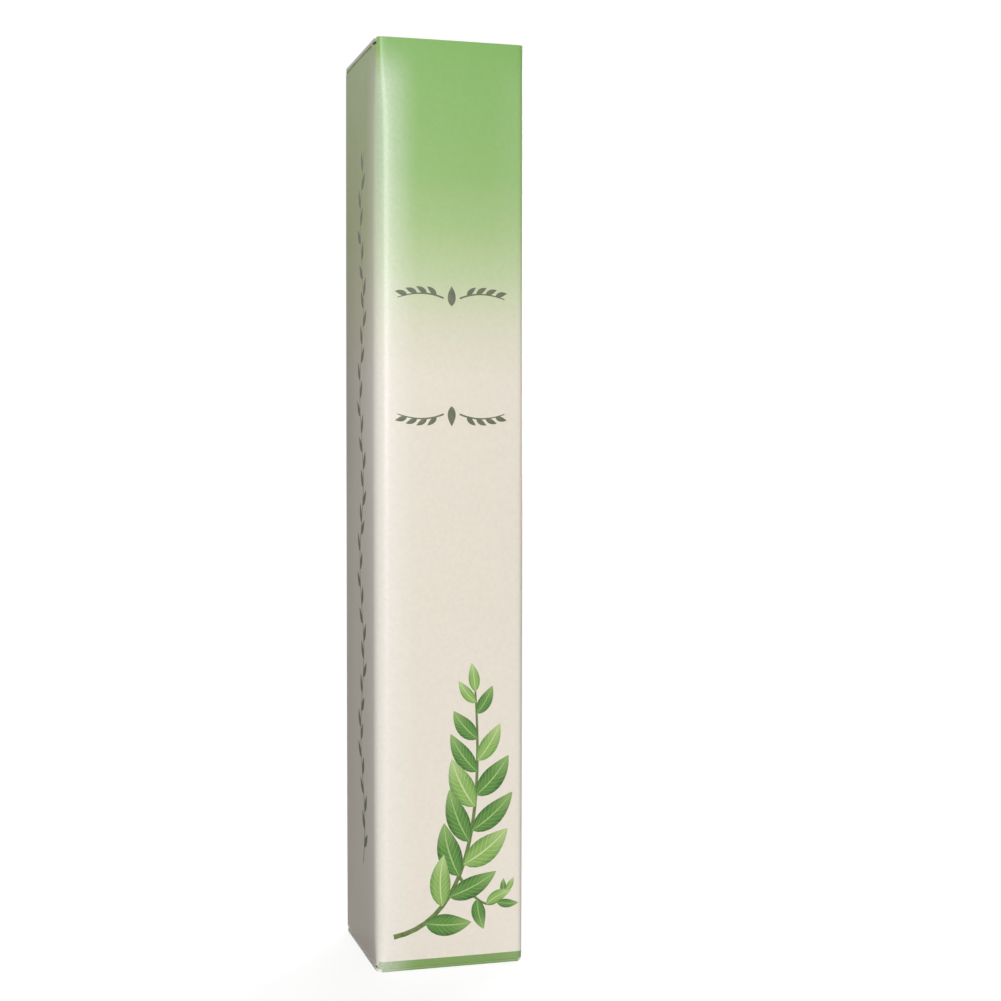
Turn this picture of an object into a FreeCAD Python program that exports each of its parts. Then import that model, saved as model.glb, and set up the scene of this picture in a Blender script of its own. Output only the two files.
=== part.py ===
import FreeCAD, Part
import math
import os
import re

import Sketcher

# A twist-up nail oil pen standing in its closed reverse-tuck carton.
# Frame: +Z up, origin at the middle of the carton's underside, printed front towards -Y.

document = FreeCAD.newDocument("nail_oil_pen")

# Driving dimensions, in millimetres: name, value, meaning
DIMENSIONS = [
    ("carton_width", "22", "outside, left to right"),
    ("carton_depth", "22", "outside, front to back"),
    ("carton_height", "133", "outside, over both lids"),
    ("board", "0.45", "thickness of the carton board"),
    ("corner_radius", "0.9", "outside of the four upright creases"),
    ("crease_gap", "0.03", "between a panel's edge and the flap creased on it"),
    ("layer_gap", "0.05", "between a lid and the dust flaps under it"),
    ("lid_side_relief", "0.1", "a lid is narrower than the sleeve by this on each side"),
    ("tuck_length", "10", "from the lid's outside to the tongue's free edge"),
    ("tuck_clearance", "0.45", "between the tongue and the panel it slides behind"),
    ("tuck_side_relief", "0.9", "between the tongue and the side panels"),
    ("tuck_corner_radius", "3.2", "free corners of the tongue"),
    ("dust_tip_gap", "2.4", "between the free edges of two facing dust flaps"),
    ("dust_hinge_root", "1.4", "dust flap's root, from the outside of the panel with the lid's crease"),
    ("dust_hinge_tip", "7.0", "the same at its free edge, which is slanted to let the lid rise"),
    ("dust_tuck_root", "2.7", "dust flap's root, from the outside of the panel with the tongue"),
    ("dust_tuck_tip", "4.8", "the same at its free edge"),
    ("dust_corner_radius", "1.2", "free corners of a dust flap"),
    ("glue_flap_width", "11", "across the seam flap"),
    ("glue_flap_inset", "0.3", "between the seam flap and the start of the corner"),
    ("glue_flap_margin", "12", "from the carton's ends to the seam flap"),
    ("glue_flap_taper", "3", "slant of the seam flap's ends"),
    ("headspace", "5", "between the pen's cap and the dust flaps above it"),
    ("pen_float", "0.1", "between the pen's foot and the dust flaps under it"),
    ("pen_radius", "6.5", "outside of knob, barrel, ring and cap"),
    ("turn_gap", "0.3", "end gap between pieces that turn or pull apart"),
    ("run_clearance", "0.06", "radial, between pieces that slide or turn in each other"),
    ("film_gap", "0.02", "between the oil or a seal and the wall that it wets"),
    ("knob_length", "18", "along the twist knob"),
    ("knob_bore", "4.9", "radius inside the twist knob"),
    ("knob_edge_radius", "0.9", "round on the knob's foot"),
    ("knob_web_base", "6", "height of the web that holds the drive sleeve"),
    ("knob_web", "3", "thickness of that web"),
    ("flute_count", "24", "grip flutes round the knob"),
    ("flute_radius", "0.55", "of one flute"),
    ("flute_depth", "0.3", "of one flute"),
    ("flute_margin", "2.4", "plain band above and below the flutes"),
    ("bead_height", "0.3", "snap bead on the barrel's spigot"),
    ("bead_length", "1", "along that bead"),
    ("bead_setback", "1.2", "from the spigot's end to the bead"),
    ("bead_play", "0.1", "between the bead and its groove, endways"),
    ("end_plug_height", "4", "of the knob's stopper"),
    ("end_plug_floor", "1.4", "thickness of the stopper's floor"),
    ("end_plug_wall", "1", "thickness of the stopper's skirt"),
    ("spigot_wall", "0.75", "wall of the barrel's rear spigot"),
    ("barrel_floor", "2.2", "from the barrel's rear face to its inner shoulder"),
    ("barrel_bore", "5.4", "radius inside the barrel"),
    ("ratchet_length", "5", "along the ratchet ring"),
    ("ratchet_crest", "4.2", "radius to the tips of the saw teeth"),
    ("ratchet_root", "4.75", "radius to the floors between the saw teeth"),
    ("ratchet_teeth", "18", "clicks in one turn"),
    ("ratchet_land", "0.2", "width of a tooth's tip"),
    ("guide_skirt_length", "18.5", "along the hollow foot of the thread guide"),
    ("guide_skirt_wall", "0.8", "wall of that foot"),
    ("guide_web", "6", "length of the threaded bore"),
    ("drive_radius", "3.2", "outside of the drive sleeve"),
    ("drive_top_gap", "0.5", "between the drive sleeve and the thread guide"),
    ("collar_radius", "3.9", "drive sleeve's collar on the knob's web"),
    ("collar_length", "1.5", "along that collar"),
    ("pawl_count", "3", "ratchet fingers on the drive sleeve"),
    ("pawl_width", "1.7", "of a finger at its root"),
    ("pawl_tip", "0.4", "of a finger at its tip"),
    ("pawl_end_gap", "0.5", "between the fingers and the ratchet ring's ends"),
    ("screw_radius", "1.9", "over the lead screw's thread"),
    ("screw_flat", "1.35", "from the axis to either flat"),
    ("screw_foot_rise", "4", "from the knob's web to the screw's foot"),
    ("screw_head_radius", "3", "head held in the piston"),
    ("screw_head_length", "1.5", "along that head"),
    ("piston_rest_gap", "0.5", "between the thread guide and the piston at rest"),
    ("piston_length", "7.5", "along the piston"),
    ("piston_lip", "1.6", "lip that the screw's head pushes and pulls on"),
    ("seal_rise", "5", "from the piston's foot to its seal groove"),
    ("seal_height", "1.2", "of the piston's seal"),
    ("seal_depth", "1.1", "of the groove for the piston's seal"),
    ("seal_play", "0.1", "between a seal and its groove, endways"),
    ("seal_round", "0.3", "rounded edges of both seals"),
    ("nozzle_plug", "8", "length of the nozzle inside the barrel"),
    ("nozzle_seal_rise", "3.4", "from the plug's end to its seal groove"),
    ("nozzle_seal_height", "1.2", "of the nozzle's seal"),
    ("nozzle_seal_depth", "0.9", "of the groove for it"),
    ("funnel_radius", "3.6", "mouth of the funnel that leads the oil to the feed bore"),
    ("funnel_height", "2.4", "of that funnel"),
    ("ring_length", "3", "trim ring between barrel and cap"),
    ("ring_wall", "0.6", "thickness of the trim ring"),
    ("ring_edge_radius", "0.35", "rounded edges of the trim ring"),
    ("neck_radius", "4.4", "nozzle's neck, which the cap grips"),
    ("neck_length", "8", "along that neck"),
    ("cone_length", "5", "nozzle's cone above the neck"),
    ("ferrule_radius", "2.4", "outside of the brush ferrule"),
    ("ferrule_wall", "0.8", "wall of the ferrule"),
    ("ferrule_length", "6", "along the ferrule"),
    ("ferrule_crimp", "0.25", "depth of the crimped ring in the ferrule"),
    ("nozzle_tip", "3", "length of the nozzle inside the ferrule"),
    ("feed_bore", "1", "radius of the bore for the feed tube"),
    ("feed_tube_bore", "0.6", "radius inside the feed tube"),
    ("feed_tube_seat", "8", "length of the feed tube inside the nozzle"),
    ("feed_tube_reach", "2", "from the ferrule to the feed tube's open end"),
    ("tuft_length", "7", "bristles outside the ferrule"),
    ("tuft_belly", "2.1", "radius where the bristles are fullest"),
    ("tuft_belly_rise", "1.6", "height of that above the ferrule"),
    ("tuft_arc", "8", "radius of the tuft's tapering outline"),
    ("tuft_point", "0.35", "radius of the tuft's blunt point"),
    ("tip_clearance", "1.5", "between the tuft and the inner cap"),
    ("cap_bore", "5.6", "radius inside the cap"),
    ("cap_crown", "1.6", "thickness of the cap's top"),
    ("cap_dome_radius", "3.5", "round on the cap's top"),
    ("cap_inner_radius", "1.4", "round inside the cap's top"),
    ("liner_recess", "0.8", "from the cap's mouth to the inner cap"),
    ("liner_radius", "4", "outside of the inner cap's cup"),
    ("liner_wall", "0.7", "wall of that cup"),
    ("liner_crown", "0.9", "thickness of the inner cap's top"),
    ("liner_step_drop", "1", "from the nozzle cone's top down to the inner cap's step"),
]

# Places that follow from the driving dimensions; pen heights are measured from the pen's foot
PLACES = [
    ("inner_half_width", "carton_width / 2 - board"),
    ("inner_half_depth", "carton_depth / 2 - board"),
    ("inner_corner_radius", "corner_radius - board"),
    ("lid_axis_inset", "board / 2"),
    ("closed_ends", "2 * board + layer_gap"),
    ("side_panel_end", "closed_ends + crease_gap"),
    ("lid_panel_end", "board + crease_gap"),
    ("lid_reach", "carton_depth - board / 2 - board - tuck_clearance"),
    ("dust_axis_drop", "board + layer_gap + board / 2"),
    ("dust_length", "carton_width / 2 - board / 2 - dust_tip_gap / 2"),
    ("pen_floor", "closed_ends + pen_float"),
    ("pen_length", "carton_height - closed_ends - headspace - pen_floor"),
    ("knob_web_top", "knob_web_base + knob_web"),
    ("collar_top", "knob_web_top + collar_length"),
    ("spigot_end", "collar_top + turn_gap"),
    ("spigot_radius", "knob_bore - run_clearance"),
    ("spigot_bore", "spigot_radius - spigot_wall"),
    ("bead_base", "spigot_end + bead_setback"),
    ("bead_top", "bead_base + bead_length"),
    ("bead_radius", "spigot_radius + bead_height"),
    ("barrel_base", "knob_length + turn_gap"),
    ("ratchet_base", "barrel_base + barrel_floor"),
    ("guide_base", "ratchet_base + ratchet_length"),
    ("guide_web_base", "guide_base + guide_skirt_length"),
    ("guide_top", "guide_web_base + guide_web"),
    ("screw_bore", "screw_radius + run_clearance"),
    ("screw_foot", "knob_web_base + screw_foot_rise"),
    ("piston_base", "guide_top + piston_rest_gap"),
    ("piston_top", "piston_base + piston_length"),
    ("screw_head_base", "piston_base + piston_lip"),
    ("screw_head_top", "screw_head_base + screw_head_length"),
    ("piston_radius", "barrel_bore - run_clearance"),
    ("seal_base", "piston_base + seal_rise"),
    ("seal_floor", "piston_radius - seal_depth"),
    ("cap_ceiling", "pen_length - cap_crown"),
    ("liner_ceiling", "cap_ceiling - liner_crown"),
    ("tuft_top", "liner_ceiling - tip_clearance"),
    ("ferrule_top", "tuft_top - tuft_length"),
    ("cone_top", "ferrule_top - ferrule_length"),
    ("neck_top", "cone_top - cone_length"),
    ("ring_top", "neck_top - neck_length"),
    ("barrel_top", "ring_top - ring_length"),
    ("plug_base", "barrel_top - nozzle_plug"),
    ("nozzle_seal_base", "plug_base + nozzle_seal_rise"),
    ("nozzle_seal_floor", "barrel_bore - nozzle_seal_depth"),
    ("ring_bore", "pen_radius - ring_wall"),
    ("tip_radius", "ferrule_radius - ferrule_wall"),
    ("tip_top", "cone_top + nozzle_tip"),
    ("cap_base", "ring_top + turn_gap"),
    ("liner_base", "cap_base + liner_recess"),
    ("liner_grip", "neck_radius + run_clearance"),
    ("liner_step", "cone_top - liner_step_drop"),
]

# Degrees
FULL_TURN = 360
HALF_TURN = 180

# Millimetres, well under the finest gap in the part
SAME_PLACE = 1e-4


def make_sheet(name, rows):
    """A spreadsheet with one named cell for each row."""
    sheet = document.addObject("Spreadsheet::Sheet", name)
    for number, (alias, content, meaning) in enumerate(rows, start=1):
        sheet.set(f"A{number}", alias)
        sheet.set(f"B{number}", content)
        sheet.set(f"C{number}", meaning)
        sheet.setAlias(f"B{number}", alias)
    document.recompute()
    return sheet


sheet_of = {alias: "Dimensions" for alias, _, _ in DIMENSIONS}


def bound(formula):
    """The formula with every named value written as a reference to its spreadsheet cell."""

    def reference(word):
        name = word.group()
        return f"{sheet_of[name]}.{name}" if name in sheet_of else name

    return re.sub(r"[a-z_]+", reference, formula)


dimensions = make_sheet("Dimensions", DIMENSIONS)
sheet_of.update({alias: "Places" for alias, _ in PLACES})
places = make_sheet("Places", [(alias, "=" + bound(formula), formula) for alias, formula in PLACES])


def value(formula):
    """The formula's present value, as a number."""
    return float(places.evalExpression(bound(formula)))


def origin_feature(body, role):
    """One of the body's own origin planes or axes."""
    return next(item for item in body.Origin.OriginFeatures if item.Role == role)


def new_body(label, x="0", y="0", z="0", upside_down=False):
    """An empty body whose place follows the sheets; upside_down turns it over about X."""
    body = document.addObject("PartDesign::Body", label)
    body.Label = label
    if upside_down:
        body.Placement.Rotation = FreeCAD.Rotation(FreeCAD.Vector(1, 0, 0), HALF_TURN)
    for axis, formula in (("x", x), ("y", y), ("z", z)):
        body.setExpression(f"Placement.Base.{axis}", bound(formula))
    return body


def new_sketch(body, name, plane, height="0"):
    """An empty sketch on one of the body's origin planes, raised along its normal."""
    sketch = body.newObject("Sketcher::SketchObject", name)
    sketch.AttachmentSupport = [(origin_feature(body, plane), "")]
    sketch.MapMode = "FlatFace"
    sketch.setExpression("AttachmentOffset.Base.z", bound(height))
    return sketch


def constrain(sketch, formula, kind, *where):
    """Add a measured constraint that follows the formula."""
    index = sketch.addConstraint(Sketcher.Constraint(kind, *where, value(formula)))
    sketch.setExpression(f"Constraints[{index}]", bound(formula))


def arc_between(start, end, radius):
    """The short arc from start to end that turns to the left."""
    chord = end - start
    half = chord.Length / 2
    left = FreeCAD.Vector(-chord.y, chord.x, 0).normalize()
    centre = (start + end) / 2 + left * math.sqrt(max(radius**2 - half**2, 0))
    angles = [math.atan2(point.y - centre.y, point.x - centre.x) for point in (start, end)]
    if angles[1] < angles[0]:
        angles[1] += 2 * math.pi
    return Part.ArcOfCircle(Part.Circle(centre, FreeCAD.Vector(0, 0, 1), radius), *angles)


def draw(sketch, corners):
    """A closed outline, drawn anticlockwise. A corner is a pair of formulas; a third formula makes
    the edge that leaves the corner an arc of that radius, bulging outwards."""
    points = [FreeCAD.Vector(value(corner[0]), value(corner[1]), 0) for corner in corners]
    first = sketch.GeometryCount
    count = len(corners)
    for number, corner in enumerate(corners):
        start = points[number]
        end = points[(number + 1) % count]
        if len(corner) > 2:
            sketch.addGeometry(arc_between(start, end, value(corner[2])))
        else:
            sketch.addGeometry(Part.LineSegment(start, end))
    for number, corner in enumerate(corners):
        edge = first + number
        following = first + (number + 1) % count
        sketch.addConstraint(Sketcher.Constraint("Coincident", edge, 2, following, 1))
        constrain(sketch, corner[0], "DistanceX", -1, 1, edge, 1)
        constrain(sketch, corner[1], "DistanceY", -1, 1, edge, 1)
        if len(corner) > 2:
            constrain(sketch, corner[2], "Radius", edge)


def rectangle(left, bottom, right, top):
    """The four corners of an upright rectangle."""
    return [(left, bottom), (right, bottom), (right, top), (left, top)]


def add_pad(body, sketch, length, symmetric=False):
    """Extrude the sketch along its normal, or to both sides of it."""
    pad = body.newObject("PartDesign::Pad", sketch.Name + "_pad")
    pad.Profile = sketch
    pad.SideType = "Symmetric" if symmetric else "One side"
    pad.setExpression("Length", bound(length))
    document.recompute()
    return pad


def cut_pocket(body, sketch, length, symmetric=False):
    """Cut the sketch out of the body along its normal, and make sure that something was cut."""
    before = body.Shape.Volume
    pocket = body.newObject("PartDesign::Pocket", sketch.Name + "_cut")
    pocket.Profile = sketch
    pocket.SideType = "Symmetric" if symmetric else "One side"
    pocket.Reversed = True
    pocket.setExpression("Length", bound(length))
    document.recompute()
    if body.Shape.Volume >= before:
        raise RuntimeError(f"{pocket.Name} cuts nothing")
    return pocket


def repeat_around(body, feature, count):
    """Repeat a feature evenly about the body's Z axis."""
    pattern = body.newObject("PartDesign::PolarPattern", feature.Name + "_ring")
    pattern.Originals = [feature]
    pattern.Axis = (origin_feature(body, "Z_Axis"), [""])
    pattern.Angle = FULL_TURN
    pattern.setExpression("Occurrences", bound(count))
    body.Tip = pattern
    document.recompute()


def round_edges(body, name, radius, wanted):
    """Fillet those edges of the body that wanted(edge) picks."""
    document.recompute()
    base = body.Tip
    names = [f"Edge{number}" for number, edge in enumerate(base.Shape.Edges, start=1) if wanted(edge)]
    if not names:
        raise RuntimeError(f"{name} finds no edge")
    fillet = body.newObject("PartDesign::Fillet", name)
    fillet.Base = (base, names)
    fillet.setExpression("Radius", bound(radius))
    document.recompute()


def same(first, second):
    """Whether two measures are equal."""
    return abs(first - second) < SAME_PLACE


def circle_at(radius, height):
    """Picks a turned piece's round edge of this radius at this height."""
    edge_radius = value(radius)
    edge_height = value(height)

    def wanted(edge):
        if not isinstance(edge.Curve, Part.Circle):
            return False
        return same(edge.Curve.Radius, edge_radius) and same(edge.Curve.Center.z, edge_height)

    return wanted


def edge_along(axis, **at):
    """Picks the straight edges that run along an axis and have the given coordinates, either sign."""
    fixed = {name: abs(value(formula)) for name, formula in at.items()}

    def wanted(edge):
        if not isinstance(edge.Curve, Part.Line):
            return False
        middle = edge.CenterOfMass
        runs = same(abs(getattr(edge.Curve.Direction, axis)), 1)
        return runs and all(same(abs(getattr(middle, name)), size) for name, size in fixed.items())

    return wanted


def turned(label, corners):
    """A pen piece turned about the pen's axis; corners are radius and height above the pen's foot."""
    body = new_body(label, z="pen_floor")
    sketch = new_sketch(body, label + "_profile", "XZ_Plane")
    draw(sketch, corners)
    turn = body.newObject("PartDesign::Revolution", label + "_turn")
    turn.Profile = sketch
    turn.ReferenceAxis = (sketch, ["V_Axis"])
    turn.Angle = FULL_TURN
    document.recompute()
    return body


# The folded carton


def make_sleeve():
    """The four panels, creased into a square tube and cut down where the lids and flaps fold over."""
    body = new_body("carton_sleeve")
    walls = new_sketch(body, "sleeve_walls", "XY_Plane")
    draw(walls, rectangle("-carton_width / 2", "-carton_depth / 2", "carton_width / 2", "carton_depth / 2"))
    draw(walls, rectangle("-inner_half_width", "-inner_half_depth", "inner_half_width", "inner_half_depth"))
    add_pad(body, walls, "carton_height")
    outside = edge_along("z", x="carton_width / 2", y="carton_depth / 2")
    round_edges(body, "outer_creases", "corner_radius", outside)
    inside = edge_along("z", x="inner_half_width", y="inner_half_depth")
    round_edges(body, "inner_creases", "inner_corner_radius", inside)
    top = new_sketch(body, "top_edge", "YZ_Plane")
    draw(top, [
        ("-inner_half_depth", "carton_height - side_panel_end"),
        ("inner_half_depth", "carton_height - side_panel_end"),
        ("inner_half_depth", "carton_height - lid_panel_end"),
        ("carton_depth", "carton_height - lid_panel_end"),
        ("carton_depth", "2 * carton_height"),
        ("-inner_half_depth", "2 * carton_height"),
    ])
    cut_pocket(body, top, "2 * carton_width", symmetric=True)
    bottom = new_sketch(body, "bottom_edge", "YZ_Plane")
    draw(bottom, [
        ("-carton_depth", "-carton_height"),
        ("inner_half_depth", "-carton_height"),
        ("inner_half_depth", "side_panel_end"),
        ("-inner_half_depth", "side_panel_end"),
        ("-inner_half_depth", "lid_panel_end"),
        ("-carton_depth", "lid_panel_end"),
    ])
    cut_pocket(body, bottom, "2 * carton_width", symmetric=True)


def make_glue_flap():
    """The seam flap, flat against the inside of the right panel."""
    body = new_body("glue_flap", x="inner_half_width - board")
    sketch = new_sketch(body, "glue_flap_outline", "YZ_Plane")
    seam = "(carton_depth / 2 - corner_radius - glue_flap_inset)"
    free = f"({seam} - glue_flap_width)"
    draw(sketch, [
        (free, "glue_flap_margin + glue_flap_taper"),
        (seam, "glue_flap_margin"),
        (seam, "carton_height - glue_flap_margin"),
        (free, "carton_height - glue_flap_margin - glue_flap_taper"),
    ])
    add_pad(body, sketch, "board")


def closure_body(end, label, x, y, drop):
    """A flap's body with its own origin on its crease: at the top as drawn, at the bottom turned over."""
    if end == "top":
        return new_body(f"top_{label}", x, y, f"carton_height - ({drop})")
    return new_body(f"bottom_{label}", x, f"-({y})", drop, upside_down=True)


def make_lid(end):
    """The closing panel: round along its crease, and bent over at the other edge to start the tongue."""
    body = closure_body(end, "lid", "0", "carton_depth / 2 - lid_axis_inset", "board / 2")
    sketch = new_sketch(body, f"{end}_lid_profile", "YZ_Plane")
    draw(sketch, [
        ("0", "-board / 2", "board / 2"),
        ("board / 2", "0", "board / 2"),
        ("0", "board / 2"),
        ("board - lid_reach", "board / 2", "board"),
        ("-lid_reach", "-board / 2"),
    ])
    add_pad(body, sketch, "carton_width - 2 * lid_side_relief", symmetric=True)


def make_tuck_flap(end):
    """The lid's tongue, with its crease at the inner corner and rounded free corners."""
    crease = "carton_depth / 2 - lid_axis_inset - lid_reach + board"
    body = closure_body(end, "tuck_flap", "0", crease, "board")
    sketch = new_sketch(body, f"{end}_tuck_outline", "XZ_Plane")
    side = "inner_half_width - tuck_side_relief"
    draw(sketch, rectangle(f"-({side})", "board - tuck_length", side, "-crease_gap"))
    add_pad(body, sketch, "board")
    corners = edge_along("y", x=side, z="board - tuck_length")
    round_edges(body, f"{end}_tuck_corners", "tuck_corner_radius", corners)


def make_dust_flap(end, side):
    """A side flap under the lid, slanted on both edges to clear the lid and the tongue as they open."""
    inwards = "" if side == "left" else "-"
    outwards = "-" if side == "left" else ""
    axis = f"{outwards}(carton_width / 2 - board / 2)"
    body = closure_body(end, f"dust_flap_{side}", axis, "0", "dust_axis_drop")
    outline = new_sketch(body, f"{end}_dust_{side}_outline", "XY_Plane")
    tip = f"{inwards}dust_length"
    hinge_root = "(carton_depth / 2 - dust_hinge_root)"
    tuck_root = "(dust_tuck_root - carton_depth / 2)"
    corners = [
        ("0", tuck_root),
        (tip, "dust_tuck_tip - carton_depth / 2"),
        (tip, "carton_depth / 2 - dust_hinge_tip"),
        ("0", hinge_root),
    ]
    draw(outline, corners)
    add_pad(body, outline, "board", symmetric=True)
    free_corners = edge_along("z", x="dust_length")
    round_edges(body, f"{end}_dust_{side}_corners", "dust_corner_radius", free_corners)
    crease = new_sketch(body, f"{end}_dust_{side}_crease", "XZ_Plane", height=f"-{hinge_root}")
    crease.addGeometry(Part.Circle(FreeCAD.Vector(), FreeCAD.Vector(0, 0, 1), value("board / 2")))
    crease.addConstraint(Sketcher.Constraint("Coincident", 0, 3, -1, 1))
    constrain(crease, "board / 2", "Radius", 0)
    add_pad(body, crease, f"{hinge_root} - {tuck_root}")


# The pen's turning end: knob, stopper, drive sleeve and ratchet


def make_twist_knob():
    """A fluted shell with a web for the drive sleeve and a groove for the barrel's snap bead."""
    groove = "bead_radius + run_clearance"
    body = turned("twist_knob", [
        ("knob_bore", "0"),
        ("pen_radius", "0"),
        ("pen_radius", "knob_length"),
        ("knob_bore", "knob_length"),
        ("knob_bore", "bead_top + bead_play"),
        (groove, "bead_top + bead_play"),
        (groove, "bead_base - bead_play"),
        ("knob_bore", "bead_base - bead_play"),
        ("knob_bore", "knob_web_top"),
        ("drive_radius", "knob_web_top"),
        ("drive_radius", "knob_web_base"),
        ("knob_bore", "knob_web_base"),
    ])
    round_edges(body, "knob_foot_round", "knob_edge_radius", circle_at("pen_radius", "0"))
    flute = new_sketch(body, "flute_section", "XY_Plane", height="flute_margin")
    centre = "pen_radius - flute_depth + flute_radius"
    flute.addGeometry(
        Part.Circle(FreeCAD.Vector(value(centre), 0, 0), FreeCAD.Vector(0, 0, 1), value("flute_radius"))
    )
    constrain(flute, centre, "DistanceX", -1, 1, 0, 3)
    constrain(flute, "0", "DistanceY", -1, 1, 0, 3)
    constrain(flute, "flute_radius", "Radius", 0)
    cut = cut_pocket(body, flute, "knob_length - 2 * flute_margin")
    repeat_around(body, cut, "flute_count")


def make_end_plug():
    """The stopper that closes the knob's foot."""
    turned("end_plug", [
        ("0", "0"),
        ("knob_bore", "0"),
        ("knob_bore", "end_plug_height"),
        ("knob_bore - end_plug_wall", "end_plug_height"),
        ("knob_bore - end_plug_wall", "end_plug_floor"),
        ("0", "end_plug_floor"),
    ])


def make_drive_sleeve():
    """Held in the knob's web; its two-flat bore turns the screw and its fingers click over the ratchet."""
    drive_top = "guide_web_base - drive_top_gap"
    body = turned("drive_sleeve", [
        ("0", "knob_web_base"),
        ("drive_radius", "knob_web_base"),
        ("drive_radius", "knob_web_top"),
        ("collar_radius", "knob_web_top"),
        ("collar_radius", "collar_top"),
        ("drive_radius", "collar_top"),
        ("drive_radius", drive_top),
        ("0", drive_top),
    ])
    finger = new_sketch(body, "pawl_section", "XY_Plane", height="ratchet_base + pawl_end_gap")
    reach = "ratchet_crest - run_clearance"
    root = "sqrt(drive_radius ^ 2 - pawl_width ^ 2)"
    draw(finger, [
        (root, "0"),
        (reach, "0"),
        (reach, "pawl_tip"),
        (root, "pawl_width"),
    ])
    pad = add_pad(body, finger, "ratchet_length - 2 * pawl_end_gap")
    repeat_around(body, pad, "pawl_count")
    bore = new_sketch(body, "drive_bore", "XY_Plane", height="knob_web_base")
    two_flat_outline(bore, "run_clearance")
    cut_pocket(body, bore, f"{drive_top} - knob_web_base")


def two_flat_outline(sketch, clearance):
    """A circle with two flats: the lead screw's section, or a bore round it with this clearance."""
    radius = f"(screw_radius + {clearance})"
    flat = f"(screw_flat + {clearance})"
    half_chord = f"sqrt({radius} ^ 2 - {flat} ^ 2)"
    draw(sketch, [
        (half_chord, f"-{flat}", radius),
        (half_chord, flat),
        (f"-{half_chord}", flat, radius),
        (f"-{half_chord}", f"-{flat}"),
    ])


def make_ratchet_ring():
    """A ring fixed in the barrel with saw teeth inside."""
    body = turned("ratchet_ring", rectangle("ratchet_crest", "ratchet_base", "barrel_bore", "guide_base"))
    gap = new_sketch(body, "tooth_gap", "XY_Plane", height="ratchet_base")
    pitch = "2 * pi * ratchet_crest / ratchet_teeth"
    inside = "drive_radius"
    draw(gap, [
        (inside, "0"),
        ("ratchet_root", "0"),
        ("ratchet_crest", f"{pitch} - ratchet_land"),
        (inside, f"{pitch} - ratchet_land"),
    ])
    cut = cut_pocket(body, gap, "ratchet_length")
    repeat_around(body, cut, "ratchet_teeth")


# The pen's barrel, feed screw and piston


def make_barrel():
    """The tube that holds the oil, with a rear spigot that the knob snaps over and turns on."""
    turned("barrel", [
        ("spigot_bore", "spigot_end"),
        ("spigot_radius", "spigot_end"),
        ("spigot_radius", "bead_base"),
        ("bead_radius", "bead_base"),
        ("bead_radius", "bead_top"),
        ("spigot_radius", "bead_top"),
        ("spigot_radius", "barrel_base"),
        ("pen_radius", "barrel_base"),
        ("pen_radius", "barrel_top"),
        ("barrel_bore", "barrel_top"),
        ("barrel_bore", "ratchet_base"),
        ("spigot_bore", "ratchet_base"),
    ])


def make_thread_guide():
    """The fixed nut: a hollow foot on the ratchet ring, and a web with the bore that the screw climbs in."""
    skirt_bore = "barrel_bore - guide_skirt_wall"
    turned("thread_guide", [
        (skirt_bore, "guide_base"),
        ("barrel_bore", "guide_base"),
        ("barrel_bore", "guide_top"),
        ("screw_bore", "guide_top"),
        ("screw_bore", "guide_web_base"),
        (skirt_bore, "guide_web_base"),
    ])


def make_lead_screw():
    """A rod with two flats and a head that is held in the piston."""
    body = turned("lead_screw", rectangle("0", "screw_head_base", "screw_head_radius", "screw_head_top"))
    rod = new_sketch(body, "screw_section", "XY_Plane", height="screw_foot")
    two_flat_outline(rod, "0")
    add_pad(body, rod, "screw_head_base - screw_foot")


def make_piston():
    """The piston: a seal groove outside, and a lipped pocket for the screw's head inside."""
    pocket = "screw_head_radius + run_clearance"
    turned("piston", [
        ("screw_bore", "piston_base"),
        ("piston_radius", "piston_base"),
        ("piston_radius", "seal_base"),
        ("seal_floor", "seal_base"),
        ("seal_floor", "seal_base + seal_height + 2 * seal_play"),
        ("piston_radius", "seal_base + seal_height + 2 * seal_play"),
        ("piston_radius", "piston_top"),
        ("0", "piston_top"),
        ("0", "screw_head_top + film_gap"),
        (pocket, "screw_head_top + film_gap"),
        (pocket, "screw_head_base - film_gap"),
        ("screw_bore", "screw_head_base - film_gap"),
    ])


def make_seal(label, floor, wall, base, height):
    """A rubber ring with rounded edges that fills its groove out to the wall."""
    top = f"{base} + {height}"
    body = turned(label, rectangle(floor, base, wall, top))

    def on_corner(edge):
        return any(circle_at(radius, level)(edge) for radius in (floor, wall) for level in (base, top))

    round_edges(body, label + "_round", "seal_round", on_corner)


def make_oil_charge():
    """The oil between the piston and the nozzle."""
    turned("oil_charge", rectangle("0", "piston_top + film_gap", "barrel_bore - film_gap", "plug_base"))


# The pen's writing end: nozzle, brush, ring and cap


def make_nozzle():
    """Plug, collar, neck and cone in one moulding, bored for the oil's way to the brush."""
    seal_top = "nozzle_seal_base + nozzle_seal_height + 2 * seal_play"
    turned("nozzle", [
        ("funnel_radius", "plug_base"),
        ("barrel_bore", "plug_base"),
        ("barrel_bore", "nozzle_seal_base"),
        ("nozzle_seal_floor", "nozzle_seal_base"),
        ("nozzle_seal_floor", seal_top),
        ("barrel_bore", seal_top),
        ("barrel_bore", "barrel_top"),
        ("ring_bore", "barrel_top"),
        ("ring_bore", "ring_top"),
        ("neck_radius", "ring_top"),
        ("neck_radius", "neck_top"),
        ("ferrule_radius", "cone_top"),
        ("tip_radius", "cone_top"),
        ("tip_radius", "tip_top"),
        ("feed_bore", "tip_top"),
        ("feed_bore", "plug_base + funnel_height"),
    ])


def make_trim_ring():
    """The ring round the nozzle's collar, between barrel and cap."""
    body = turned("trim_ring", rectangle("ring_bore", "barrel_top", "pen_radius", "ring_top"))

    def on_outside(edge):
        return any(circle_at("pen_radius", level)(edge) for level in ("barrel_top", "ring_top"))

    round_edges(body, "trim_ring_round", "ring_edge_radius", on_outside)


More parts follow.
